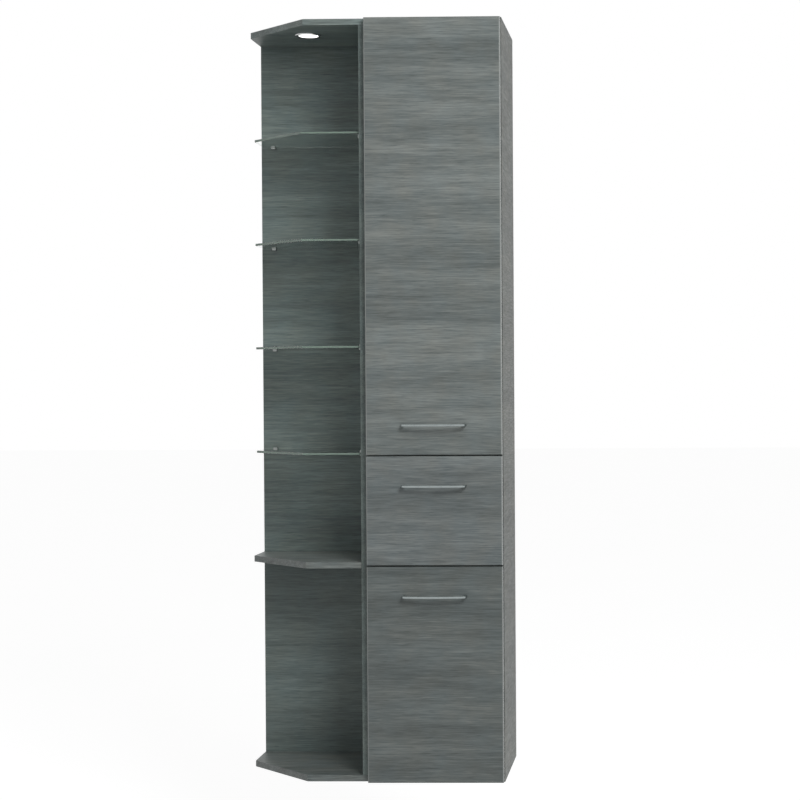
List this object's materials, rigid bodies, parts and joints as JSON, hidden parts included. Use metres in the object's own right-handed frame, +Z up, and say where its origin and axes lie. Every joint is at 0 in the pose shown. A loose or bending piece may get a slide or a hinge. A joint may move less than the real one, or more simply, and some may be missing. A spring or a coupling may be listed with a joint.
{
  "type": "wall-hung bathroom cabinet with open corner shelf",
  "caption": "Tall wall-hung bathroom unit: open corner shelf with cut-off boards, glass shelves and a lamp, beside a closed cabinet with hinged doors and a drawer.",
  "frame": {"origin": "on the wall plane, under the middle of the total width, level with the lower edge of the boards", "axes": "+X to the right as seen from the front, +Y towards the wall, +Z up"},
  "size_m": [0.683, 0.378, 1.95],
  "materials": {
    "grey_decor": "embossed matt graphite-grey wood decor, grain across",
    "thin_board": "smooth grey thin board",
    "shelf_glass": "clear float glass with green polished edges",
    "clip_chrome": "polished chrome",
    "satin_metal": "satin",
    "plated_steel": "nickel plated",
    "lamp_body": "pressed",
    "frosted_lens": "frosted white",
    "dowel_wood": "plain beech",
    "clear_bumper": "translucent silicone",
    "grey_plastic": "moulded"
  },
  "bodies": {
    "carcass": {"cabinet_left_side": "grey_decor", "cabinet_right_side": "grey_decor", "cabinet_top": "grey_decor", "cabinet_bottom": "grey_decor", "divider_lower": "grey_decor", "divider_upper": "grey_decor", "cabinet_back": "thin_board", "shelf_top_board": "grey_decor", "shelf_middle_board": "grey_decor", "shelf_bottom_board": "grey_decor", "shelf_back_panel": "grey_decor", "shelf_side_panel": "grey_decor", "glass_shelf_1": "shelf_glass", "glass_shelf_2": "shelf_glass", "glass_shelf_3": "shelf_glass", "glass_shelf_4": "shelf_glass", "glass_shelf_clips": "clip_chrome", "lamp_housing": "lamp_body", "lamp_bezel": "clip_chrome", "lamp_lens": "frosted_lens", "inner_shelf_1": "grey_decor", "inner_shelf_2": "grey_decor", "inner_shelf_3": "grey_decor", "inner_shelf_4": "grey_decor", "inner_shelf_pegs": "plated_steel", "cam_fittings": "plated_steel", "dowels": "dowel_wood", "module_screws": "plated_steel", "hinge_plates": "plated_steel", "hinge_arms": "plated_steel", "fitting_screws": "plated_steel", "slide_outer_members": "plated_steel", "front_bumpers": "clear_bumper", "hanger_housings": "grey_plastic", "hanger_hooks": "plated_steel", "wall_plates": "plated_steel"},
    "upper_door": {"upper_door_panel": "grey_decor", "upper_door_handle": "satin_metal", "upper_door_handle_screws": "plated_steel", "upper_door_hinge_cups": "plated_steel", "upper_door_hinge_pins": "plated_steel", "upper_door_cup_screws": "plated_steel"},
    "lower_door": {"lower_door_panel": "grey_decor", "lower_door_handle": "satin_metal", "lower_door_handle_screws": "plated_steel", "lower_door_hinge_cups": "plated_steel", "lower_door_hinge_pins": "plated_steel", "lower_door_cup_screws": "plated_steel"},
    "drawer": {"drawer_front": "grey_decor", "drawer_handle": "satin_metal", "drawer_handle_screws": "plated_steel", "drawer_left_side": "grey_decor", "drawer_right_side": "grey_decor", "drawer_back_board": "grey_decor", "drawer_bottom": "thin_board", "drawer_dowels": "dowel_wood", "slide_inner_members": "plated_steel", "drawer_slide_screws": "plated_steel"},
    "runner_middle": {"slide_middle_members": "plated_steel"}
  },
  "joints": [
    {"name": "upper_door_hinge", "type": "hinge", "parent": "carcass", "child": "upper_door", "pos_m": [0.3325, -0.3415, 1.39275], "axis": [0, 0, 1], "range_deg": [0, 95]},
    {"name": "lower_door_hinge", "type": "hinge", "parent": "carcass", "child": "lower_door", "pos_m": [0.3325, -0.3415, 0.27725], "axis": [0, 0, 1], "range_deg": [0, 95]},
    {"name": "drawer_slide", "type": "slide", "parent": "carcass", "child": "drawer", "axis": [0, -1, 0], "range_m": [0, 0.28]},
    {"name": "runner_slide", "type": "slide", "parent": "carcass", "child": "runner_middle", "axis": [0, -1, 0], "range_m": [0, 0.14]}
  ],
  "couplings": [
    {"joint": "runner_slide", "follows": "drawer_slide", "ratio": 0.5}
  ]
}
